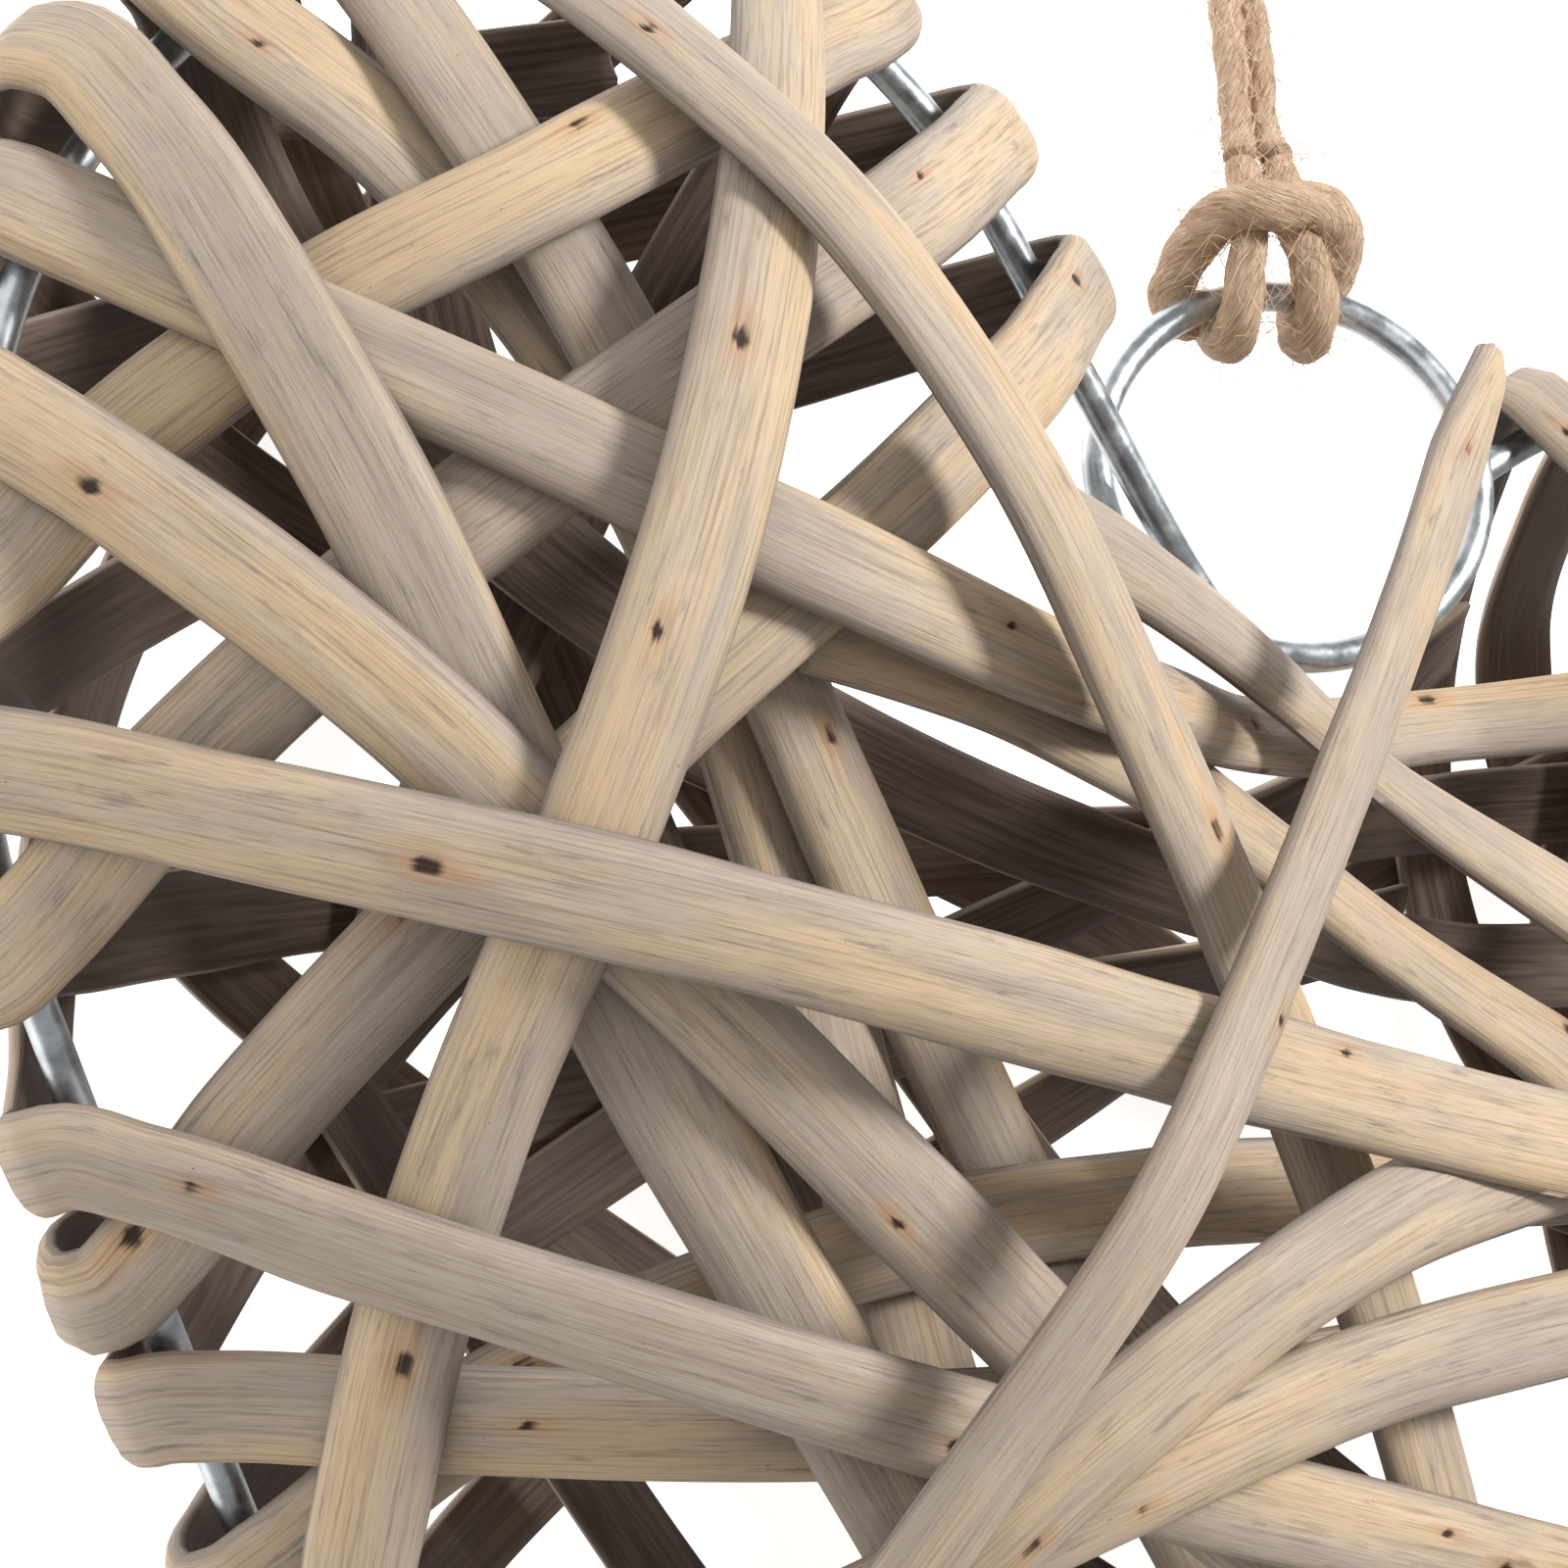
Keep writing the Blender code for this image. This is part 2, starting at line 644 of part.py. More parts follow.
def strip_mesh(name, points, tangents, normals, widths):
    section = half_round_section()
    steps = np.linalg.norm(np.diff(points, axis=0), axis=1)
    along = np.concatenate([[0.0], np.cumsum(steps)])
    mesh = bmesh.new()
    rows = []
    for point, tangent, normal, distance in zip(points, tangents, normals, along):
        width = np.interp(distance, (0.0, along[-1]), widths)
        sideways = unit(np.cross(tangent, normal))
        row = []
        for across, up in section:
            corner = point + sideways * across * width / 2 + normal * up * STRIP_THICKNESS
            row.append(mesh.verts.new(corner * MM))
        rows.append(row)
    count = len(section)
    for row, following in zip(rows, rows[1:]):
        for k in range(count):
            mesh.faces.new((row[k], row[(k + 1) % count], following[(k + 1) % count], following[k]))
    mesh.faces.new(rows[0])
    mesh.faces.new(rows[-1])
    bmesh.ops.recalc_face_normals(mesh, faces=mesh.faces)
    data = bpy.data.meshes.new(name)
    mesh.to_mesh(data)
    mesh.free()
    return data


def round_bar(name, points, diameter, closed=False):
    """A bar of round wire or twine along the points."""
    data = bpy.data.curves.new(name, "CURVE")
    data.dimensions = "3D"
    data.bevel_depth = diameter / 2 * MM
    data.bevel_resolution = 2
    data.use_fill_caps = not closed
    spline = data.splines.new("POLY")
    spline.points.add(len(points) - 1)
    for place_in_spline, point in zip(spline.points, points):
        place_in_spline.co = (*(np.asarray(point) * MM), 1.0)
    spline.use_cyclic_u = closed
    return data


# Building


def build_wire(collection):
    corners = [np.array([x, y, 0.0]) for x, y in outline_corners()]
    galvanised = new_material("galvanised_wire", (0.55, 0.57, 0.58), 0.35, 1.0)
    data = round_bar("outline_wire", corners, WIRE_DIAMETER, True)
    return place("outline_wire", data, galvanised, collection)


def build_ring(collection):
    corners = [ring_at(2 * pi * index / RING_CORNERS) for index in range(RING_CORNERS)]
    galvanised = new_material("galvanised_ring", (0.6, 0.62, 0.63), 0.3, 1.0)
    data = round_bar("hanging_ring", corners, RING_WIRE_DIAMETER, True)
    return place("hanging_ring", data, galvanised, collection)


def build_strips(collection):
    strips = {name: route_passes(*strip) for name, strip in ROUTES.items()}
    for side in (FRONT, BACK):
        settle([one for passes in strips.values() for one in passes if one.side == side])
    willow = new_material("willow", (0.56, 0.46, 0.36), 0.7)
    return [place(name, strip_mesh(name, *strip_path(passes), ROUTES[name][0]), willow, collection)
            for name, passes in strips.items()]


FINE_STEPS = 20


def smooth_through(points, step):
    """Points an even step apart on a smooth curve through the given ones."""
    points = np.array(points, dtype=float)
    before = np.vstack([2 * points[0] - points[1], points[:-1]])
    after = np.vstack([points[1:], 2 * points[-1] - points[-2]])
    slopes = (after - before) / 2
    fine = []
    for k in range(len(points) - 1):
        for t in np.linspace(0, 1, FINE_STEPS, endpoint=False):
            a, b = points[k], points[k + 1]
            rise = 3 * t**2 - 2 * t**3
            fine.append(a + rise * (b - a) + (t**3 - 2 * t**2 + t) * slopes[k]
                        + (t**3 - t**2) * slopes[k + 1])
    fine = np.array(fine + [points[-1]])
    along = np.concatenate([[0.0], np.cumsum(np.linalg.norm(np.diff(fine, axis=0), axis=1))])
    marks = np.linspace(0, along[-1], max(2, round(along[-1] / step) + 1))
    return np.column_stack([np.interp(marks, along, fine[:, i]) for i in range(3)])


HITCH_ASIDE = radians(HITCH_TURN)
HITCH_ACROSS = cos(HITCH_ASIDE) * RING_ACROSS + sin(HITCH_ASIDE) * RING_UP
HITCH_UP = cos(HITCH_ASIDE) * RING_UP - sin(HITCH_ASIDE) * RING_ACROSS


def beside_ring(across, up, forward):
    seat = RING_CENTRE + RING_RADIUS * HITCH_UP
    return seat + across * HITCH_ACROSS + up * HITCH_UP + forward * RING_FORWARD


def hitch_route():
    """Down the front of the ring's top, round under it, up and across in front, and back the same."""
    wrap = (RING_WIRE_DIAMETER + TWINE_DIAMETER) / 2 + HITCH_SLACK
    over = wrap + TWINE_DIAMETER + CLEARANCE
    leg = [(STRAND_SPACING / 2 + out, high * HITCH_TOP + up * wrap, forward * wrap)
           for out, high, up, forward in HITCH_LEG]
    left = [(-across, up, forward) for across, up, forward in leg]
    loose = [(across, up, forward * wrap) for across, up, forward in LOOSE_SIDE]
    tight = [(across, up, forward * wrap) for across, up, forward in TIGHT_SIDE]
    places = left + loose + [(0.0, BAR_HEIGHT, over)] + tight + leg[::-1]
    return [beside_ring(*place_in_frame) for place_in_frame in places]


def twine_route(floor):
    """From the hitch's left strand out to the loop's end, lying down, and back to its right one."""
    start = beside_ring(0.0, HITCH_TOP, 0.0)
    lying = floor + LYING_GAP + TWINE_DIAMETER / 2
    there = []
    back = []
    for beyond, sideways, height, apart in TWINE_ROUTE:
        middle = start + [sideways, beyond, 0.0]
        middle[2] = lying + height * (start[2] - lying)
        there.append(middle - [apart / 2, 0.0, 0.0])
        back.append(middle + [apart / 2, 0.0, 0.0])
    tip = middle + [0.0, apart / 2, 0.0]
    hitch = hitch_route()
    step_out = STRAND_GAP * HITCH_UP
    return [hitch[0] + step_out] + there + [tip] + back[::-1] + [hitch[-1] + step_out]


def box_of(objects):
    """The objects' lowest and highest corners, in metres."""
    depsgraph = bpy.context.evaluated_depsgraph_get()
    corners = np.array([shape.matrix_world @ vertex.co
                        for shape in (one.evaluated_get(depsgraph) for one in objects)
                        for vertex in shape.to_mesh().vertices])
    return corners.min(axis=0), corners.max(axis=0)


def main():
    clear_scene()
    collection = bpy.data.collections.new("wicker_heart")
    bpy.context.scene.collection.children.link(collection)
    rigid = [build_wire(collection), build_ring(collection), *build_strips(collection)]
    low, high = box_of(rigid)
    jute = new_material("jute", (0.62, 0.45, 0.3), 0.9)
    hitch = smooth_through(hitch_route(), HITCH_STEP)
    twine = smooth_through(twine_route(low[2] / MM), TWINE_STEP)
    place("twine_hitch", round_bar("twine_hitch", hitch, TWINE_DIAMETER), jute, collection)
    place("jute_twine", round_bar("jute_twine", twine, TWINE_DIAMETER), jute, collection)
    # The heart rests on the floor, its box centred over the origin
    for placed in collection.objects:
        placed.location = (-(low[0] + high[0]) / 2, -(low[1] + high[1]) / 2, -low[2])


main()
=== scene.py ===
"""A hanging heart of split willow, wound criss-cross over a heart of galvanised wire.

It lies on a white floor with its front up. The willow strips, the twine and the wires are made
here in full detail along the lines of the plain solids, which are read from the frame.
"""

import json
from math import cos, pi, radians, sin

import bmesh
import bpy
import numpy as np
from mathutils import Matrix, Vector

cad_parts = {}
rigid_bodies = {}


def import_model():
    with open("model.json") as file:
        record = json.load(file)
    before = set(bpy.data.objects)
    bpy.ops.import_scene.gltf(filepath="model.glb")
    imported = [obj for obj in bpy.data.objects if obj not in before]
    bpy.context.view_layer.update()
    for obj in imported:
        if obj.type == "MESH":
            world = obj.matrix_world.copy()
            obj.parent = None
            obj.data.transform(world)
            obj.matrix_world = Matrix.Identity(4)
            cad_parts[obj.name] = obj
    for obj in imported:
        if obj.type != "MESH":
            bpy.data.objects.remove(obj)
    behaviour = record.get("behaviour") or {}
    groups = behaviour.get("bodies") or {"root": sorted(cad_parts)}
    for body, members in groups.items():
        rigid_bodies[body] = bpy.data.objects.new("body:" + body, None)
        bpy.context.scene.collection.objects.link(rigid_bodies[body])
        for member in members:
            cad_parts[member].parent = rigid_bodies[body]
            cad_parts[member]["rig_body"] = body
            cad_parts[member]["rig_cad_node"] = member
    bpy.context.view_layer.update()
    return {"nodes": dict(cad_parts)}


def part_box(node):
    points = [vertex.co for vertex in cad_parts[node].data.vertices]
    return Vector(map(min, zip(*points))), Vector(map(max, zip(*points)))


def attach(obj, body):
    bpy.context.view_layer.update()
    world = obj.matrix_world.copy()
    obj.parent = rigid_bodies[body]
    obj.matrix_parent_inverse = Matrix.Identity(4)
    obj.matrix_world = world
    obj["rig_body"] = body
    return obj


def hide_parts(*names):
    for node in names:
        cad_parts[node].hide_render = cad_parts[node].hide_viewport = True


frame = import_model()

MM = 0.001

# The camera, in the heart's own frame: X across, Y towards the lobes, Z through its front, with
# the origin on the heart's middle line, level with the wire
LOBE_TOP = 21.81 * MM
SENSOR = 36.0
PHOTO_SIDE = 1600
FOCAL_PIXELS = 4230.0
TURN_ASIDE = 36.0
HEART_LEAN = 14.0
RING_DISTANCE = 318.0 * MM
RING_PIXEL = (1295, 480)
RING_PLACE = Vector((2.0, 0.0, 0.0)) * MM


def heart_origin():
    low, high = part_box("outline_wire")
    return Vector(((low.x + high.x) / 2, high.y - LOBE_TOP, (low.z + high.z) / 2))


def along_photo(across, up, forward):
    """A direction as the photograph's heart hangs in it, turned into the heart's own frame."""
    lean = radians(HEART_LEAN)
    return Vector((across * cos(lean) - up * sin(lean), across * sin(lean) + up * cos(lean), forward))


TURN = radians(TURN_ASIDE)
VIEW_RIGHT = along_photo(cos(TURN), 0.0, sin(TURN))
VIEW_AHEAD = along_photo(sin(TURN), 0.0, -cos(TURN))
VIEW_UP = along_photo(0.0, 1.0, 0.0)


def set_camera():
    right = (RING_PIXEL[0] - PHOTO_SIDE / 2) / FOCAL_PIXELS
    up = (PHOTO_SIDE / 2 - RING_PIXEL[1]) / FOCAL_PIXELS
    to_ring = RING_DISTANCE * (right * VIEW_RIGHT + up * VIEW_UP + VIEW_AHEAD)
    data = bpy.data.cameras.new("camera")
    data.sensor_width = SENSOR
    data.lens = SENSOR * FOCAL_PIXELS / PHOTO_SIDE
    data.clip_start = 0.01
    camera = bpy.data.objects.new("camera", data)
    bpy.context.scene.collection.objects.link(camera)
    turned = Matrix((VIEW_RIGHT, VIEW_UP, -VIEW_AHEAD)).transposed().to_4x4()
    camera.matrix_world = Matrix.Translation(heart_origin() + RING_PLACE - to_ring) @ turned
    bpy.context.scene.camera = camera


set_camera()


# Materials: arithmetic on sockets


class Level:
    """A socket in a finish, with arithmetic that adds the nodes it needs."""

    def __init__(self, finish, socket):
        self.finish = finish
        self.socket = socket

    def maths(self, operation, first, second):
        return self.finish.node("Math", {0: first, 1: second}, operation=operation)

    def __add__(self, other):
        return self.maths("ADD", self, other)

    def __sub__(self, other):
        return self.maths("SUBTRACT", self, other)

    def __mul__(self, other):
        return self.maths("MULTIPLY", self, other)

    def __rsub__(self, other):
        return self.maths("SUBTRACT", other, self)

    __radd__ = __add__
    __rmul__ = __mul__

    def rise(self, low, high, start=0.0, end=1.0):
        """A smooth step from start to end while this one goes from low to high."""
        values = {"Value": self, "From Min": low, "From Max": high, "To Min": start, "To Max": end}
        return self.finish.node("MapRange", values, interpolation_type="SMOOTHSTEP")

    def blend(self, first, second):
        """The first colour where this is 0 and the second where it is 1."""
        return self.finish.node("Mix", {0: self, 6: first, 7: second}, output=2, data_type="RGBA")


class Finish:
    """A new material, with one way to add any node to it."""

    def __init__(self, name, shader_values):
        self.material = bpy.data.materials.new(name)
        self.material.use_nodes = True
        self.tree = self.material.node_tree
        self.shader = self.tree.nodes["Principled BSDF"]
        for key, value in shader_values.items():
            self.shader.inputs[key].default_value = value

    def node(self, kind, values, output=0, **settings):
        made = self.tree.nodes.new("ShaderNode" + kind)
        for setting, value in settings.items():
            setattr(made, setting, value)
        for key, value in values.items():
            self.feed(made.inputs[key], value)
        return Level(self, made.outputs[output])

    def feed(self, socket, value):
        if isinstance(value, Level):
            self.tree.links.new(value.socket, socket)
        else:
            socket.default_value = value

    def set(self, key, value):
        self.feed(self.shader.inputs[key], value)

    def grain(self, where, scale, detail=3.0, roughness=0.6, place=(0.0, 0.0, 0.0)):
        """Noise over a coordinate that is first stretched by the scale."""
        stretched = self.node("Mapping", {"Vector": where, "Scale": scale, "Location": place})
        values = {"Vector": stretched, "Scale": 1.0, "Detail": detail, "Roughness": roughness}
        return self.node("TexNoise", values)

    def bump(self, height, distance, strength=1.0):
        values = {"Height": height, "Distance": distance, "Strength": strength}
        self.set("Normal", self.node("Bump", values))


def colour(red, green, blue):
    """A colour read off a screen, from 0 to 255, as the light that it stands for."""
    shares = [channel / 255 for channel in (red, green, blue)]
    return (*[((share + 0.055) / 1.055) ** 2.4 for share in shares], 1.0)


# Lines through space


def unit_rows(vectors):
    return vectors / np.linalg.norm(vectors, axis=1)[:, None]


def distances(points):
    return np.concatenate([[0.0], np.cumsum(np.linalg.norm(np.diff(points, axis=0), axis=1))])


def between(marks, along, values):
    """Each column of the values at the marks, in straight steps."""
    return np.column_stack([np.interp(marks, along, column) for column in values.T])


def smooth_between(marks, along, values):
    """Each column of the values at the marks, on a smooth curve through them."""
    slopes = np.gradient(values, along, axis=0)
    k = np.clip(np.searchsorted(along, marks, side="right") - 1, 0, len(along) - 2)
    gap = (along[k + 1] - along[k])[:, None]
    t = (marks - along[k])[:, None] / gap
    rise = 3 * t**2 - 2 * t**3
    return (values[k] * (1 - rise) + values[k + 1] * rise
            + (t**3 - 2 * t**2 + t) * gap * slopes[k] + (t**3 - t**2) * gap * slopes[k + 1])


FINE_STEPS = 20


def smooth_through(points, step):
    """Points an even step apart on a smooth curve through the given ones."""
    points = np.array(points, dtype=float)
    fine = smooth_between(np.linspace(0, len(points) - 1, FINE_STEPS * (len(points) - 1) + 1),
                          np.arange(len(points)), points)
    along = distances(fine)
    marks = np.linspace(0, along[-1], max(2, round(along[-1] / step) + 1))
    return between(marks, along, fine)


MERGE = 0.0001 * MM
STRIP_CORNERS = 5
FEWEST_ROWS = 5


def strip_ends(mesh):
    """The corner sets of the face trios that could close a strip, with the rows that follow each."""
    for face in mesh.faces:
        beside = [other for edge in face.edges for other in edge.link_faces if other != face]
        for left_out in beside:
            trio = [face] + [other for other in beside if other != left_out]
            rows = rows_from({vertex for one in trio for vertex in one.verts})
            if len(rows) > FEWEST_ROWS:
                yield rows


def rows_from(end):
    """The corner sets met in turn from one end, as long as each has a strip's corners."""
    rows = [end]
    reached = set(end)
    while len(rows[-1]) == STRIP_CORNERS:
        beside = {edge.other_vert(vertex) for vertex in rows[-1] for edge in vertex.link_edges}
        rows.append(beside - reached)
        reached |= beside
    return rows[:-1]


def strip_rows(node):
    """The corners of a strip's solid, row by row from one end to the other."""
    mesh = bmesh.new()
    mesh.from_mesh(frame["nodes"][node].data)
    bmesh.ops.remove_doubles(mesh, verts=mesh.verts, dist=MERGE)
    count = len(mesh.verts) // STRIP_CORNERS
    first, *others = strip_ends(mesh)
    # A face that spans two rows can stop the walk from one end: the rest comes from the other end
    last = next((rows for rows in others if rows[0] != first[0]), [])
    rows = first + last[:count - len(first)][::-1]
    found = np.array([[vertex.co for vertex in row] for row in rows])
    mesh.free()
    return found


def strip_line(node):
    """A strip's flat side's middle line, its outward normals and its widths, from its solid."""
    middles = []
    normals = []
    widths = []
    for row in strip_rows(node):
        apart = np.linalg.norm(row[:, None] - row[None], axis=2)
        left, right = np.unravel_index(apart.argmax(), apart.shape)
        middle = (row[left] + row[right]) / 2
        flat = (row[right] - row[left]) / apart.max()
        rises = row - middle
        rises -= np.outer(rises @ flat, flat)
        top = rises[np.linalg.norm(rises, axis=1).argmax()]
        middles.append(middle)
        normals.append(top / np.linalg.norm(top))
        widths.append(apart.max())
    return np.array(middles), np.array(normals), np.array(widths)


# Modelling helpers


def keep_as(name):
    made = bpy.context.object
    made.name = name
    made.data.name = name
    return made


def start_blank(name, columns, rows):
    """A flat blank of columns across and rows along, all its corners ready to be laid out."""
    bpy.ops.object.select_all(action="DESELECT")
    bpy.ops.mesh.primitive_grid_add(x_subdivisions=columns, y_subdivisions=rows, size=1.0)
    return keep_as(name)


def lay_blank(blank, places, sizes):
    """Puts the blank's corners at their places (row, column), and gives its map real sizes."""
    rows, columns = places.shape[0] - 1, places.shape[1] - 1
    corners = np.empty(len(blank.data.vertices) * 3)
    blank.data.vertices.foreach_get("co", corners)
    corners = corners.reshape(-1, 3)
    column = np.rint((corners[:, 0] + 0.5) * columns).astype(int)
    row = np.rint((corners[:, 1] + 0.5) * rows).astype(int)
    blank.data.vertices.foreach_set("co", places[row, column].ravel())
    layer = blank.data.uv_layers[0]
    layer.name = "lengthwise"
    spots = np.empty(len(layer.data) * 2)
    layer.data.foreach_get("uv", spots)
    layer.data.foreach_set("uv", (spots.reshape(-1, 2) * sizes[:2] + sizes[2:]).ravel())
    return row, column


def close_tube(tube):
    """Joins a rolled blank along its seam and closes its two ends, each round a middle corner."""
    bpy.ops.object.select_all(action="DESELECT")
    tube.select_set(True)
    bpy.context.view_layer.objects.active = tube
    bpy.ops.object.mode_set(mode="EDIT")
    bpy.ops.mesh.select_all(action="SELECT")
    bpy.ops.mesh.remove_doubles(threshold=MERGE * 10)
    bpy.ops.mesh.select_all(action="DESELECT")
    bpy.ops.mesh.select_mode(type="EDGE")
    bpy.ops.mesh.select_non_manifold()
    bpy.ops.mesh.edge_face_add()
    bpy.ops.mesh.select_all(action="DESELECT")
    bpy.ops.mesh.select_mode(type="FACE")
    bpy.ops.mesh.select_face_by_sides(number=4, type="GREATER")
    bpy.ops.mesh.poke()
    bpy.ops.mesh.select_all(action="SELECT")
    bpy.ops.mesh.normals_make_consistent(inside=False)
    bpy.ops.object.mode_set(mode="OBJECT")
    bpy.ops.object.shade_smooth()


def dress(piece, finish, slot, *nodes):
    """Gives a piece its finish, and lets it ride on the body in the place of its solids."""
    piece.data.materials.clear()
    piece.data.materials.append(finish.material)
    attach(piece, "root")
    if nodes:
        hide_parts(*nodes)


def smooth_noise(rng, marks, length):
    """Smooth random values from -1 to 1 that change over the length."""
    knots = rng.uniform(-1, 1, int(marks.max() / length) + 3)
    k = np.floor(marks / length).astype(int)
    t = marks / length - k
    t = t * t * (3 - 2 * t)
    return knots[k] * (1 - t) + knots[k + 1] * t


def noise_sheet(rng, rows, columns, row_length, column_length):
    """Smooth random values from -1 to 1 over a sheet of rows by columns."""
    knots = rng.uniform(-1, 1, (int(rows.max() / row_length) + 3, int(columns.max() / column_length) + 3))
    i = np.floor(rows / row_length).astype(int)
    j = np.floor(columns / column_length).astype(int)
    s = rows / row_length - i
    t = columns / column_length - j
    s = (s * s * (3 - 2 * s))[:, None]
    t = (t * t * (3 - 2 * t))[None]
    near = knots[i][:, j] * (1 - t) + knots[i][:, j + 1] * t
    far = knots[i + 1][:, j] * (1 - t) + knots[i + 1][:, j + 1] * t
    return near * (1 - s) + far * s


# The twine: the same route as its solid's, from the hitch out to the loop's end and back

RING_WIRE = 3.0
TWINE = 2.5
CLEARANCE = 0.4
RING_RADIUS = 15.05
RING_CENTRE = np.array([1.945, -0.448, 2.369])
LEAN = radians(30.0)
TILT = radians(12.7)
RING_ACROSS = np.array([cos(LEAN), 0.0, sin(LEAN)])
RING_UP = np.array([sin(LEAN) * sin(TILT), cos(TILT), -cos(LEAN) * sin(TILT)])
RING_FORWARD = np.cross(RING_ACROSS, RING_UP)
HITCH_ASIDE = radians(14.0)
HITCH_ACROSS = cos(HITCH_ASIDE) * RING_ACROSS + sin(HITCH_ASIDE) * RING_UP
HITCH_UP = cos(HITCH_ASIDE) * RING_UP - sin(HITCH_ASIDE) * RING_ACROSS
STRAND_SPACING = 3.0
HITCH_TOP = 10.0
HITCH_SLACK = 0.8
STRAND_GAP = 0.7
LYING_GAP = 0.8
BAR_HEIGHT = 4.3
LOOSE_SIDE = (
    (-5.6, -0.3, -1.0),
    (-6.9, 0.9, -0.75),
    (-6.6, 2.4, -0.1),
    (-5.5, 3.9, 0.8),
    (-3.4, 4.7, 1.5),
)
TIGHT_SIDE = ((3.4, 4.9, 1.45), (5.4, 4.2, 0.8), (6.1, 3.0, -0.1), (5.4, 1.4, -0.9))
HITCH_LEG = (
    (0.0, 1.0, 0.0, 0.6),
    (0.0, 0.72, 0.0, 0.85),
    (0.3, 0.4, 0.0, 1.0),
    (1.2, 0.0, 0.0, 1.0),
    (1.5, 0.0, -0.72, 0.72),
    (1.6, 0.0, -1.0, 0.0),
    (1.7, 0.0, -0.72, -0.72),
    (2.3, 0.0, 0.1, -1.0),
)
TWINE_ROUTE = (
    (5.0, 0.1, 0.94, 3.0),
    (11.0, 0.5, 0.85, 3.1),
    (17.0, 1.4, 0.73, 3.2),
    (23.0, 2.0, 0.58, 3.2),
    (29.0, 2.3, 0.42, 3.3),
    (34.0, 2.5, 0.27, 3.4),
    (39.0, 2.6, 0.13, 3.6),
    (45.0, 2.8, 0.03, 4.2),
    (51.0, 3.0, 0.0, 5.4),
    (57.0, 3.2, 0.0, 7.0),
    (62.0, 3.3, 0.0, 6.6),
)


def beside_ring(across, up, forward):
    seat = RING_CENTRE + RING_RADIUS * HITCH_UP
    return seat + across * HITCH_ACROSS + up * HITCH_UP + forward * RING_FORWARD


def hitch_route():
    """Down the front of the ring's top, round under it, up and across in front, and back the same."""
    wrap = (RING_WIRE + TWINE) / 2 + HITCH_SLACK
    over = wrap + TWINE + CLEARANCE
    leg = [(STRAND_SPACING / 2 + out, high * HITCH_TOP + up * wrap, forward * wrap)
           for out, high, up, forward in HITCH_LEG]
    left = [(-across, up, forward) for across, up, forward in leg]
    loose = [(across, up, forward * wrap) for across, up, forward in LOOSE_SIDE]
    tight = [(across, up, forward * wrap) for across, up, forward in TIGHT_SIDE]
    places = left + loose + [(0.0, BAR_HEIGHT, over)] + tight + leg[::-1]
    return [beside_ring(*place) for place in places]


def twine_route(floor):
    """From the hitch's left strand out to the loop's end, lying down, and back to its right one."""
    start = beside_ring(0.0, HITCH_TOP, 0.0)
    lying = floor + LYING_GAP + TWINE / 2
    there = []
    back = []
    for beyond, sideways, height, apart in TWINE_ROUTE:
        middle = start + [sideways, beyond, 0.0]
        middle[2] = lying + height * (start[2] - lying)
        there.append(middle - [apart / 2, 0.0, 0.0])
        back.append(middle + [apart / 2, 0.0, 0.0])
    tip = middle + [0.0, apart / 2, 0.0]
    hitch = hitch_route()
    step_out = STRAND_GAP * HITCH_UP
    return [hitch[0] + step_out] + there + [tip] + back[::-1] + [hitch[-1] + step_out]


TWINE_SIDES = 24
TWINE_ROW = 0.35
PLIES = 3
PLY_DEPTH = 0.09
TURN_LENGTH = 12.0
# How the plies wander round the twine, in radians, and over what length, in mm
PLY_WANDER = 0.5
PLY_WANDER_LENGTH = 6.0
# Flat and full places: their share of the radius, and their size along and round the twine
PATCH_SHARE = 0.07
PATCH_LENGTH = 1.6
PATCH_ANGLE = 0.5
# Slow swelling of the whole twine
SWELL_SHARE = 0.06
SWELL_LENGTH = 5.0
HITCH_SPREAD = 0.46
STRAND_SPREAD = 0.08


def frames_along(points):
    """Directions along a line and two across it that turn no more than they must."""
    ahead = unit_rows(np.gradient(points, axis=0))
    aside = np.empty_like(ahead)
    first = np.cross(ahead[0], [0.31, 0.17, 0.93])
    aside[0] = first / np.linalg.norm(first)
    for k in range(1, len(points)):
        carried = aside[k - 1] - (aside[k - 1] @ ahead[k]) * ahead[k]
        aside[k] = carried / np.linalg.norm(carried)
    return ahead, aside, np.cross(ahead, aside)


def twisted_twine(name, route, seed, spread):
    """Three loosely laid plies along the route (metres), with their furrows and loose patches."""
    points = smooth_through(route, TWINE_ROW * MM)
    ahead, aside, over = frames_along(points)
    along = distances(points) / MM
    rng = np.random.default_rng(seed)
    angles = np.linspace(0, 2 * pi, TWINE_SIDES + 1)
    laid = 2 * pi * along / TURN_LENGTH + PLY_WANDER * smooth_noise(rng, along, PLY_WANDER_LENGTH)
    lobes = np.abs(np.cos(PLIES / 2 * (angles[None] - laid[:, None])))
    patches = noise_sheet(rng, along, angles, PATCH_LENGTH, PATCH_ANGLE)
    patches[:, -1] = patches[:, 0]
    radius = TWINE / 2 * (1 - PLY_DEPTH + 1.3 * PLY_DEPTH * lobes + PATCH_SHARE * patches)
    radius *= 1 + SWELL_SHARE * smooth_noise(rng, along, SWELL_LENGTH)[:, None]
    # Slack turns spread out in their middle part
    radius *= 1 + spread * (np.sin(pi * along / along[-1]) ** 0.5)[:, None]
    round_about = np.cos(angles)[None, :, None] * aside[:, None]
    round_about = round_about + np.sin(angles)[None, :, None] * over[:, None]
    places = points[:, None] + MM * radius[..., None] * round_about
    tube = start_blank(name, TWINE_SIDES, len(points) - 1)
    lay_blank(tube, places, (2 * pi, along[-1], 0.0, 50.0 * seed))
    close_tube(tube)
    return tube, points


FIBRE_STEPS = 6
FIBRE_COUNT = 3600
FIBRE_RADIUS = 0.045
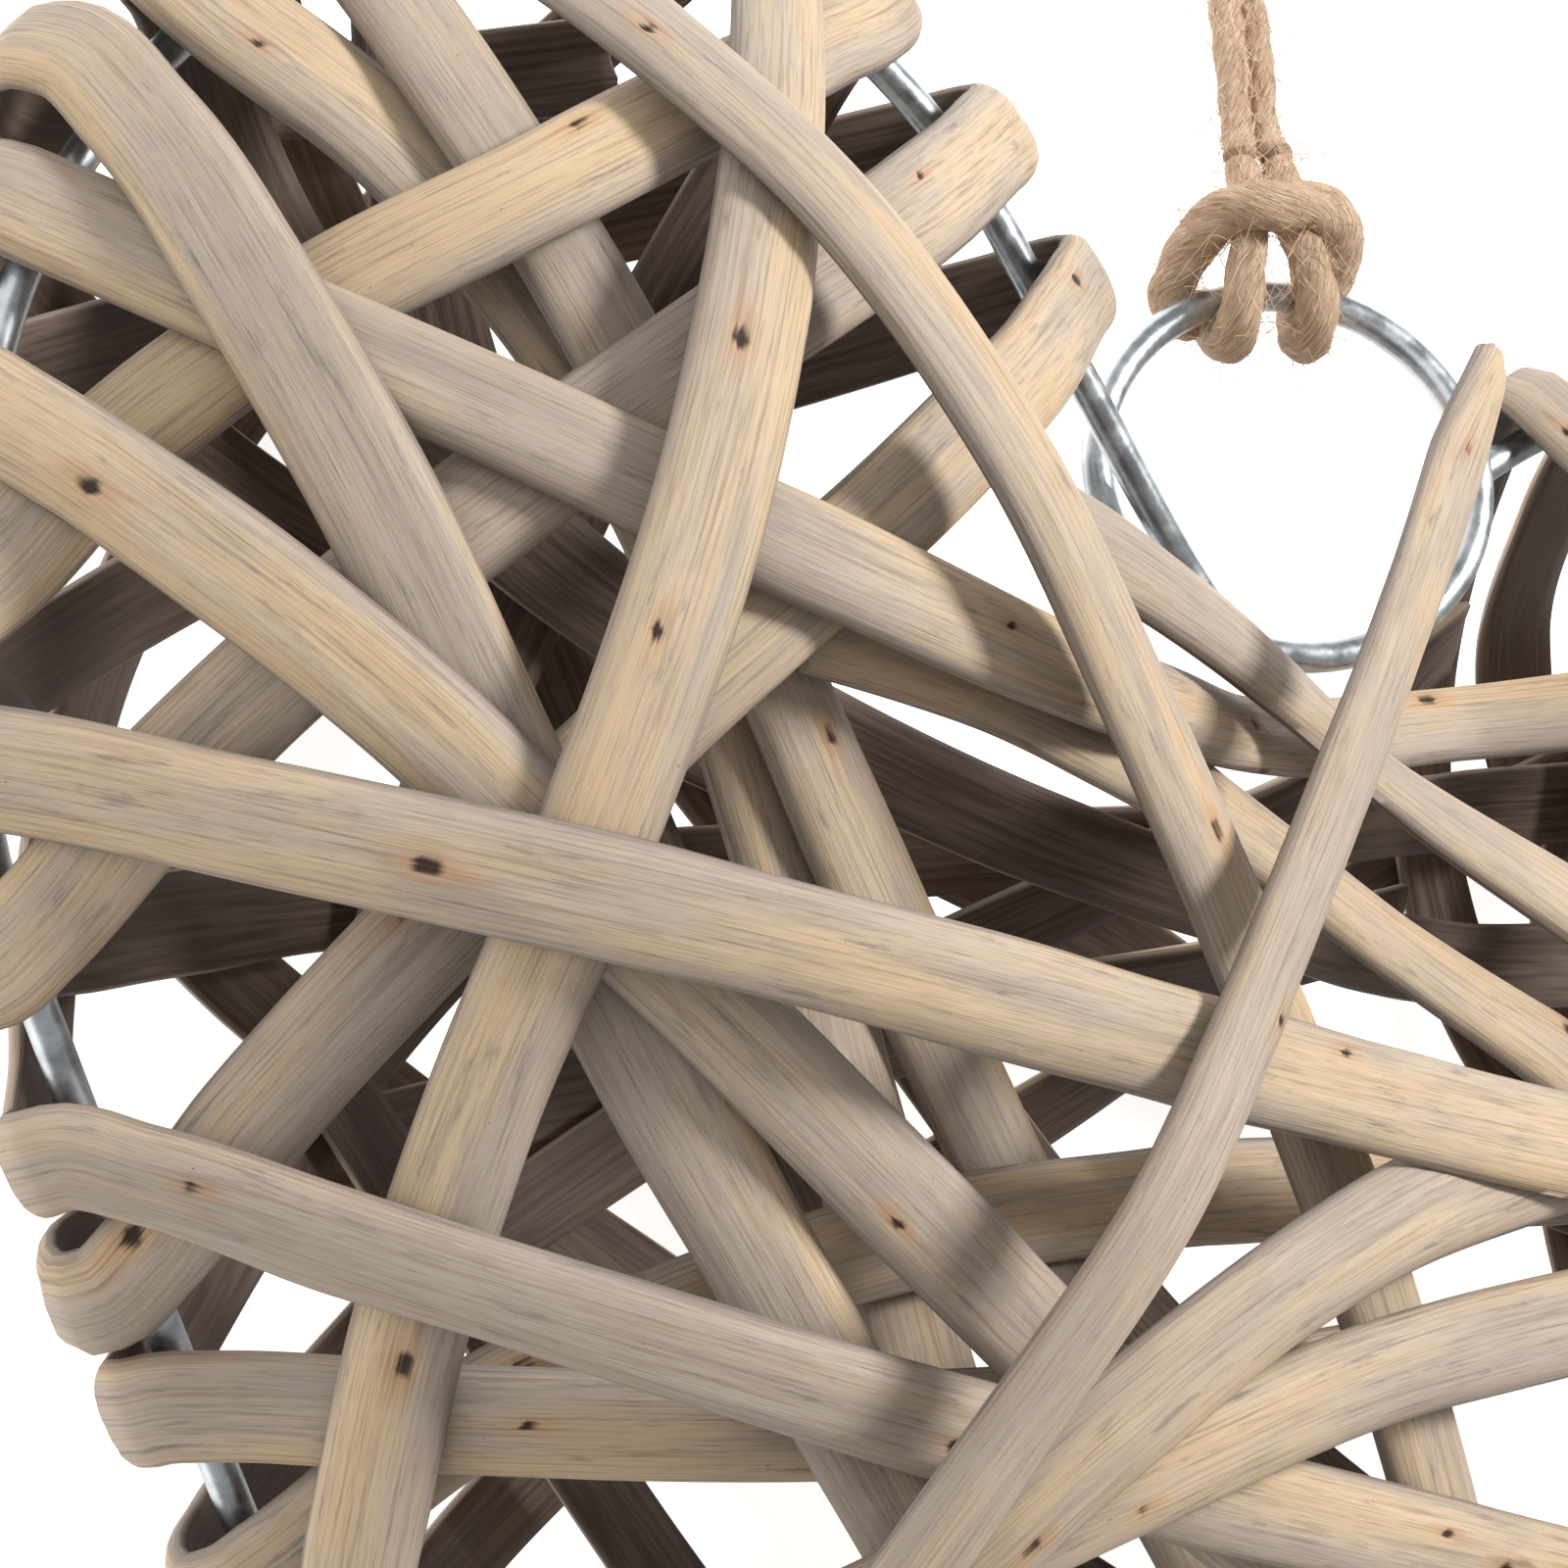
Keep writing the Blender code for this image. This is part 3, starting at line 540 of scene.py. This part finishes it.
# Shape and scale of the spread of their lengths, in mm
FIBRE_LENGTHS = (2.2, 0.9)
FIBRE_LIFT = (0.15, 0.75)
FIBRE_BEND = 0.5
FLOOR_ROOM = 0.1


def loose_fibres(name, line, count, seed):
    """Thin fibres that stand off the twine, each a bent and tapered thread of its own."""
    rng = np.random.default_rng(seed)
    ahead, aside, over = frames_along(line)
    data = bpy.data.curves.new(name, "CURVE")
    data.dimensions = "3D"
    data.bevel_depth = FIBRE_RADIUS * MM
    data.bevel_resolution = 0
    for _ in range(count):
        k = rng.integers(3, len(line) - 3)
        angle = rng.uniform(0, 2 * pi)
        out = cos(angle) * aside[k] + sin(angle) * over[k]
        round_about = np.cross(ahead[k], out)
        heading = rng.choice((-1, 1)) * ahead[k] + 0.8 * rng.uniform(-1, 1) * round_about
        length = rng.gamma(*FIBRE_LENGTHS) * MM
        lift = rng.uniform(*FIBRE_LIFT)
        bend = rng.normal(0, FIBRE_BEND, 3)
        spline = data.splines.new("POLY")
        spline.points.add(FIBRE_STEPS - 1)
        for step, point in enumerate(spline.points):
            t = step / (FIBRE_STEPS - 1)
            place = line[k] + out * MM * (0.95 * TWINE / 2) + length * t * (heading + out * lift)
            place += length * t * t * bend * 0.6
            place[2] = max(place[2], FLOOR_ROOM * MM)
            point.co = (*place, 1.0)
            point.radius = 1.0 - 0.7 * t
    made = bpy.data.objects.new(name, data)
    bpy.context.scene.collection.objects.link(made)
    bpy.ops.object.select_all(action="DESELECT")
    made.select_set(True)
    bpy.context.view_layer.objects.active = made
    bpy.ops.object.convert(target="MESH")
    return keep_as(name)


def jute_finish():
    jute = Finish("jute", {"Roughness": 0.85, "Specular IOR Level": 0.25})
    where = jute.node("UVMap", {}, uv_map="lengthwise")
    # A spun thread's fibres run aslant round it
    turned = jute.node("Mapping", {"Vector": where, "Rotation": (0.0, 0.0, radians(18))})
    fine = jute.grain(turned, (9.0, 0.6, 1.0), detail=5.0)
    broad = jute.grain(turned, (1.1, 0.16, 1.0))
    pale = fine.rise(0.3, 0.72).blend(colour(168, 134, 104), colour(236, 212, 186))
    tan = broad.rise(0.35, 0.7, 0.0, 0.5).blend(pale, colour(208, 174, 142))
    jute.set("Base Color", tan)
    jute.bump(fine + broad * 0.5, 0.45 * MM, 1.0)
    return jute


def fibre_finish():
    fibre = Finish("loose_jute", {"Roughness": 0.7})
    where = fibre.node("TexCoord", {}, output=3)
    tone = fibre.grain(where, (300.0, 300.0, 300.0))
    fibre.set("Base Color", tone.rise(0.35, 0.65).blend(colour(206, 172, 140), colour(238, 214, 188)))
    return fibre


def to_metres(route):
    return [np.array(heart_origin()) + np.array(place) * MM for place in route]


def make_twine():
    jute = jute_finish()
    fibre = fibre_finish()
    hitch, hitch_line = twisted_twine("jute_hitch", to_metres(hitch_route()), 2, HITCH_SPREAD)
    dress(hitch, jute, "jute", "twine_hitch")
    floor = -heart_origin().z / MM
    strands, line = twisted_twine("jute_strands", to_metres(twine_route(floor)), 5, STRAND_SPREAD)
    dress(strands, jute, "jute", "jute_twine")
    fuzz = loose_fibres("jute_fuzz", np.vstack([hitch_line, hitch_line, line]), FIBRE_COUNT, 7)
    dress(fuzz, fibre, "jute")
    [tuple(p) for p in line[::4]]


make_twine()


# The wires: the solids' own lines, rounded out

ROUNDING_LEVELS = 2
# How much the rounding takes off the wire all round, in mm
WIRE_SWELL = 0.13


def rounded_copy(node, name, swell):
    """A copy of a wire's solid, joined up, made round and brought back to its thickness."""
    made = frame["nodes"][node].copy()
    made.data = frame["nodes"][node].data.copy()
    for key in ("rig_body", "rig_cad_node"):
        del made[key]
    made.parent = None
    made.name = made.data.name = name
    bpy.context.scene.collection.objects.link(made)
    bpy.ops.object.select_all(action="DESELECT")
    made.select_set(True)
    bpy.context.view_layer.objects.active = made
    bpy.ops.object.mode_set(mode="EDIT")
    bpy.ops.mesh.select_all(action="SELECT")
    bpy.ops.mesh.remove_doubles(threshold=MERGE)
    bpy.ops.mesh.tris_convert_to_quads(face_threshold=radians(40), shape_threshold=radians(60))
    bpy.ops.object.mode_set(mode="OBJECT")
    rounding = made.modifiers.new("rounding", "SUBSURF")
    rounding.levels = ROUNDING_LEVELS
    rounding.render_levels = ROUNDING_LEVELS
    bpy.ops.object.modifier_apply(modifier="rounding")
    bpy.ops.object.mode_set(mode="EDIT")
    bpy.ops.mesh.select_all(action="SELECT")
    bpy.ops.transform.shrink_fatten(value=-swell * MM)
    bpy.ops.object.mode_set(mode="OBJECT")
    bpy.ops.object.shade_smooth()
    return made


def galvanised_finish():
    zinc = Finish("galvanised", {"Metallic": 1.0})
    where = zinc.node("TexCoord", {}, output=3)
    patches = zinc.grain(where, (420.0, 420.0, 420.0), detail=4.0)
    fine = zinc.grain(where, (2200.0, 2200.0, 2200.0), detail=2.0)
    zinc.set("Base Color", patches.rise(0.35, 0.65).blend(colour(168, 174, 178), colour(208, 213, 216)))
    zinc.set("Roughness", patches.rise(0.3, 0.7, 0.28, 0.45))
    zinc.bump(patches + fine * 0.3, 0.05 * MM, 0.6)
    return zinc


def make_wires():
    zinc = galvanised_finish()
    dress(rounded_copy("outline_wire", "round_wire", WIRE_SWELL), zinc, "outline_wire", "outline_wire")
    dress(rounded_copy("hanging_ring", "round_ring", WIRE_SWELL), zinc, "hanging_ring", "hanging_ring")


make_wires()


# The willow strips

ROW_STEP = 1.0
TOP_COLUMNS = 18
FLAT_COLUMNS = 8
THICKNESS = 2.1
EDGE_SHARE = 0.2
FLAT_SHARE = 0.93
ROUNDNESS = (3.2, 0.625)
# Waves in the width, the thickness, the ridges and the edges: (size, length in mm)
WIDTH_WAVES = ((0.045, 38), (0.02, 9))
THICKNESS_WAVE = (0.07, 24)
EDGE_WAVE = (0.16, 13)
RIDGE_HEIGHT = 0.05
# A scar's raised rim and its pit: (height, length and width as shares of the scar's size)
SCAR_RIM = (0.3, 2.4, 1.4)
SCAR_PIT = (-0.45, 0.95, 0.6)
HALO = (4.0, 1.4)
# The cut ends: how aslant, and how ragged, in mm
CUT_SLANT = 0.5
CUT_RAGGED = 0.35
STRIP_NAMES = [name for name in sorted(frame["nodes"]) if name.startswith("willow_strip")]


def strip_section():
    """Round the strip's section: shares of half its width, and of its thickness, per column."""
    across = np.cos(np.linspace(0, pi, TOP_COLUMNS + 1))
    across = 0.6 * across + 0.4 * np.linspace(1, -1, TOP_COLUMNS + 1)
    arch = (1 - np.abs(across) ** ROUNDNESS[0]).clip(0) ** ROUNDNESS[1]
    high = EDGE_SHARE + (1 - EDGE_SHARE) * arch
    flat = np.linspace(-FLAT_SHARE, FLAT_SHARE, FLAT_COLUMNS - 1)
    return (np.concatenate([across, flat, across[:1]]),
            np.concatenate([high, 0.0 * flat, high[:1]]))


# Scars with a place of their own: (distance along the strip, share across, size in mm)
PLACED_SCARS = {
    "willow_strip_1": ((95, 0.58, 1.3), (100, 0.5, 1.1), (471, -0.13, 1.2), (757, 0.28, 1.2)),
    "willow_strip_2": ((873, -0.54, 1.2), (868, -0.61, 1.3)),
    "willow_strip_3": ((156, -0.5, 1.4), (829, -0.5, 1.2)),
    "willow_strip_5": ((79, -0.5, 1.3),),
    "willow_strip_7": ((719, 0.24, 1.2), (714, 0.36, 1.3)),
}


def bud_scars(rng, node, length):
    """Places of the bud scars along a strip: (distance, share across, size in mm)."""
    scars = list(PLACED_SCARS.get(node, ()))
    distance = rng.uniform(15, 50)
    side = rng.choice((-1, 1))
    while distance < length - 10:
        scars.append((distance, side * rng.uniform(0.05, 0.6), rng.uniform(0.7, 1.25)))
        side = -side
        distance += rng.uniform(26, 70)
    return scars


def make_strip(node, seed, willow):
    middles, normals, widths = strip_line(node)
    along = distances(middles)
    rows = round(along[-1] / (ROW_STEP * MM))
    marks = np.linspace(0, along[-1], rows + 1)
    line = smooth_between(marks, along, middles)
    normal = between(marks, along, normals)
    ahead = unit_rows(np.gradient(line, axis=0))
    normal = unit_rows(normal - (normal * ahead).sum(axis=1)[:, None] * ahead)
    aside = np.cross(ahead, normal)
    rng = np.random.default_rng(seed)
    distance = marks / MM
    width = np.interp(marks, along, widths) / MM
    width *= 1 + sum(size * smooth_noise(rng, distance, length) for size, length in WIDTH_WAVES)
    thick = THICKNESS * (1 + THICKNESS_WAVE[0] * smooth_noise(rng, distance, THICKNESS_WAVE[1]))
    across, high = strip_section()
    columns = np.arange(TOP_COLUMNS + FLAT_COLUMNS + 1)
    on_top = columns <= TOP_COLUMNS
    ridges = noise_sheet(rng, distance, columns, 26, 1.3) + 0.6 * noise_sheet(rng, distance, columns, 9, 1.0)
    lift = RIDGE_HEIGHT * ridges * on_top
    lift[:, -1] = lift[:, 0]
    scar = np.zeros_like(lift)
    halo = np.zeros_like(lift)
    for place, share, size in bud_scars(rng, node, distance[-1]):
        ds = (distance - place)[:, None] / size
        da = (across[None] - share) * width[:, None] / 2 / size
        near = on_top * np.exp(-(ds / SCAR_RIM[1]) ** 2 - (da / SCAR_RIM[2]) ** 2)
        pit = on_top * np.exp(-(ds / SCAR_PIT[1]) ** 2 - (da / SCAR_PIT[2]) ** 2)
        lift += SCAR_RIM[0] * near + SCAR_PIT[0] * pit
        scar = np.maximum(scar, pit)
        halo = np.maximum(halo, on_top * np.exp(-(ds / HALO[0]) ** 2 - (da / HALO[1]) ** 2))
    # The left and right edges waver each on their own
    waver = EDGE_WAVE[0] * np.stack([smooth_noise(rng, distance, EDGE_WAVE[1]) for _ in range(2)])
    sideways = across[None] * width[:, None] / 2
    sideways = sideways + np.where(across > 0, waver[0][:, None], waver[1][:, None]) * np.abs(across) ** 3
    upwards = high[None] * thick[:, None] + lift
    # Both ends are cut a little aslant and ragged
    jag = np.zeros_like(lift)
    for end, sense in ((0, 1.0), (-1, -1.0)):
        jag[end] = sense * (CUT_SLANT * across + CUT_RAGGED * rng.uniform(-1, 1, len(across)))
        jag[end, -1] = jag[end, 0]
    places = line[:, None] + MM * aside[:, None] * sideways[..., None]
    places += MM * (normal[:, None] * upwards[..., None] + ahead[:, None] * jag[..., None])
    blank = start_blank(node.replace("willow_strip", "split_willow"), len(columns) - 1, rows)
    row, column = lay_blank(blank, places, (float(len(columns) - 1), distance[-1], 0.0, 1000.0 * seed))
    for name, values in (("scar", scar), ("halo", halo)):
        attribute = blank.data.attributes.new(name, "FLOAT", "POINT")
        attribute.data.foreach_set("value", values[row, column].astype(np.float32))
    close_tube(blank)
    dress(blank, willow, "willow", node)


def willow_finish():
    willow = Finish("willow", {"Specular IOR Level": 0.3})
    where = willow.node("UVMap", {}, uv_map="lengthwise")
    column = willow.node("SeparateXYZ", {"Vector": where})
    scar = willow.node("Attribute", {}, output=2, attribute_name="scar")
    halo = willow.node("Attribute", {}, output=2, attribute_name="halo")
    fibre = willow.grain(where, (2.2, 0.07, 1.0), detail=5.0)
    fine = willow.grain(where, (6.0, 0.22, 1.0), detail=3.0)
    patch = willow.grain(where, (0.22, 0.05, 1.0), detail=5.0)
    broad = willow.grain(where, (0.05, 0.014, 1.0), detail=2.0, place=(9.0, 3.0, 0.0))
    smudge = willow.grain(where, (0.5, 0.12, 1.0), detail=5.0, roughness=0.7, place=(5.0, 1.0, 0.0))
    speck = willow.grain(where, (1.3, 0.9, 1.0), detail=3.0, place=(3.0, 7.0, 0.0))
    # Outer side: pale wood, weathered grey in patches and along the edges
    middle_column = TOP_COLUMNS / 2
    off_middle = willow.node("Math", {0: column - middle_column}, operation="ABSOLUTE")
    edge = (off_middle + fibre * 4.0).rise(middle_column - 0.4, middle_column + 2.6)
    pale = patch.rise(0.35, 0.65).blend(colour(220, 202, 180), colour(186, 166, 144))
    warm = broad.rise(0.42, 0.62, 0.0, 0.75).blend(pale, colour(204, 176, 138))
    grey = (broad * 0.5 + patch * 0.5).rise(0.58, 0.42, 0.0, 0.7).blend(warm, colour(152, 140, 130))
    grained = fibre.rise(0.45, 0.72, 0.0, 0.6).blend(grey, colour(134, 116, 100))
    lined = fine.rise(0.5, 0.72, 0.0, 0.5).blend(grained, colour(104, 90, 80))
    smudged = smudge.rise(0.56, 0.72, 0.0, 0.65).blend(lined, colour(106, 98, 96))
    edged = (edge * 0.65).blend(smudged, colour(104, 96, 94))
    dotted = speck.rise(0.72, 0.77, 0.0, 0.8).blend(edged, colour(74, 58, 48))
    amber = (halo * fibre).rise(0.2, 0.6, 0.0, 0.6).blend(dotted, colour(176, 126, 78))
    scarred = (scar + fibre * 0.7 - 0.35).rise(0.35, 0.75).blend(amber, colour(50, 35, 27))
    # Inner side: the dark pith and its greyer margins. The dark brown is partly the pith's own colour and
    # partly painted shade, because the inner faces lie on the undersides.
    pith_and_underside_shade = fibre.rise(0.35, 0.65).blend(colour(78, 62, 54), colour(108, 92, 82))
    inner = column.rise(TOP_COLUMNS + 0.3, TOP_COLUMNS + 1.2)
    # The inner side gets the dark brown, which is pith colour with painted underside shade in it
    willow.set("Base Color", inner.blend(scarred, pith_and_underside_shade))
    willow.set("Roughness", fibre.rise(0.3, 0.7, 0.5, 0.75))
    willow.bump(fibre * 0.6 + fine * 0.4, 0.12 * MM, 0.7)
    return willow


def make_strips():
    willow = willow_finish()
    for index, node in enumerate(STRIP_NAMES):
        make_strip(node, index + 1, willow)


make_strips()


# The floor and the light


def make_floor():
    bpy.ops.object.select_all(action="DESELECT")
    bpy.ops.mesh.primitive_plane_add(size=6.0)
    floor = keep_as("floor")
    white = Finish("white_floor", {"Roughness": 0.9, "Emission Strength": 0.75})
    white.set("Base Color", (0.95, 0.95, 0.95, 1.0))
    white.set("Emission Color", (1.0, 1.0, 1.0, 1.0))
    floor.data.materials.append(white.material)


def add_light(name, across, up, towards, size, power):
    """A soft square light, placed as seen by the camera: to the right, above and nearer."""
    data = bpy.data.lights.new(name, "AREA")
    data.size = size
    data.energy = power
    light = bpy.data.objects.new(name, data)
    bpy.context.scene.collection.objects.link(light)
    aim = heart_origin()
    light.location = aim + across * VIEW_RIGHT + up * VIEW_UP - towards * VIEW_AHEAD
    light.rotation_euler = (aim - light.location).to_track_quat("-Z", "Y").to_euler()


def set_light():
    world = bpy.data.worlds.new("studio")
    world.use_nodes = True
    background = world.node_tree.nodes["Background"]
    background.inputs["Color"].default_value = (1.0, 1.0, 1.0, 1.0)
    background.inputs["Strength"].default_value = 0.4
    bpy.context.scene.world = world
    add_light("key", 0.85, 0.4, 0.45, 0.25, 13.0)
    add_light("fill", -0.4, 0.3, 0.9, 0.9, 3.0)
    bpy.context.scene.view_settings.view_transform = "Standard"


make_floor()
set_light()
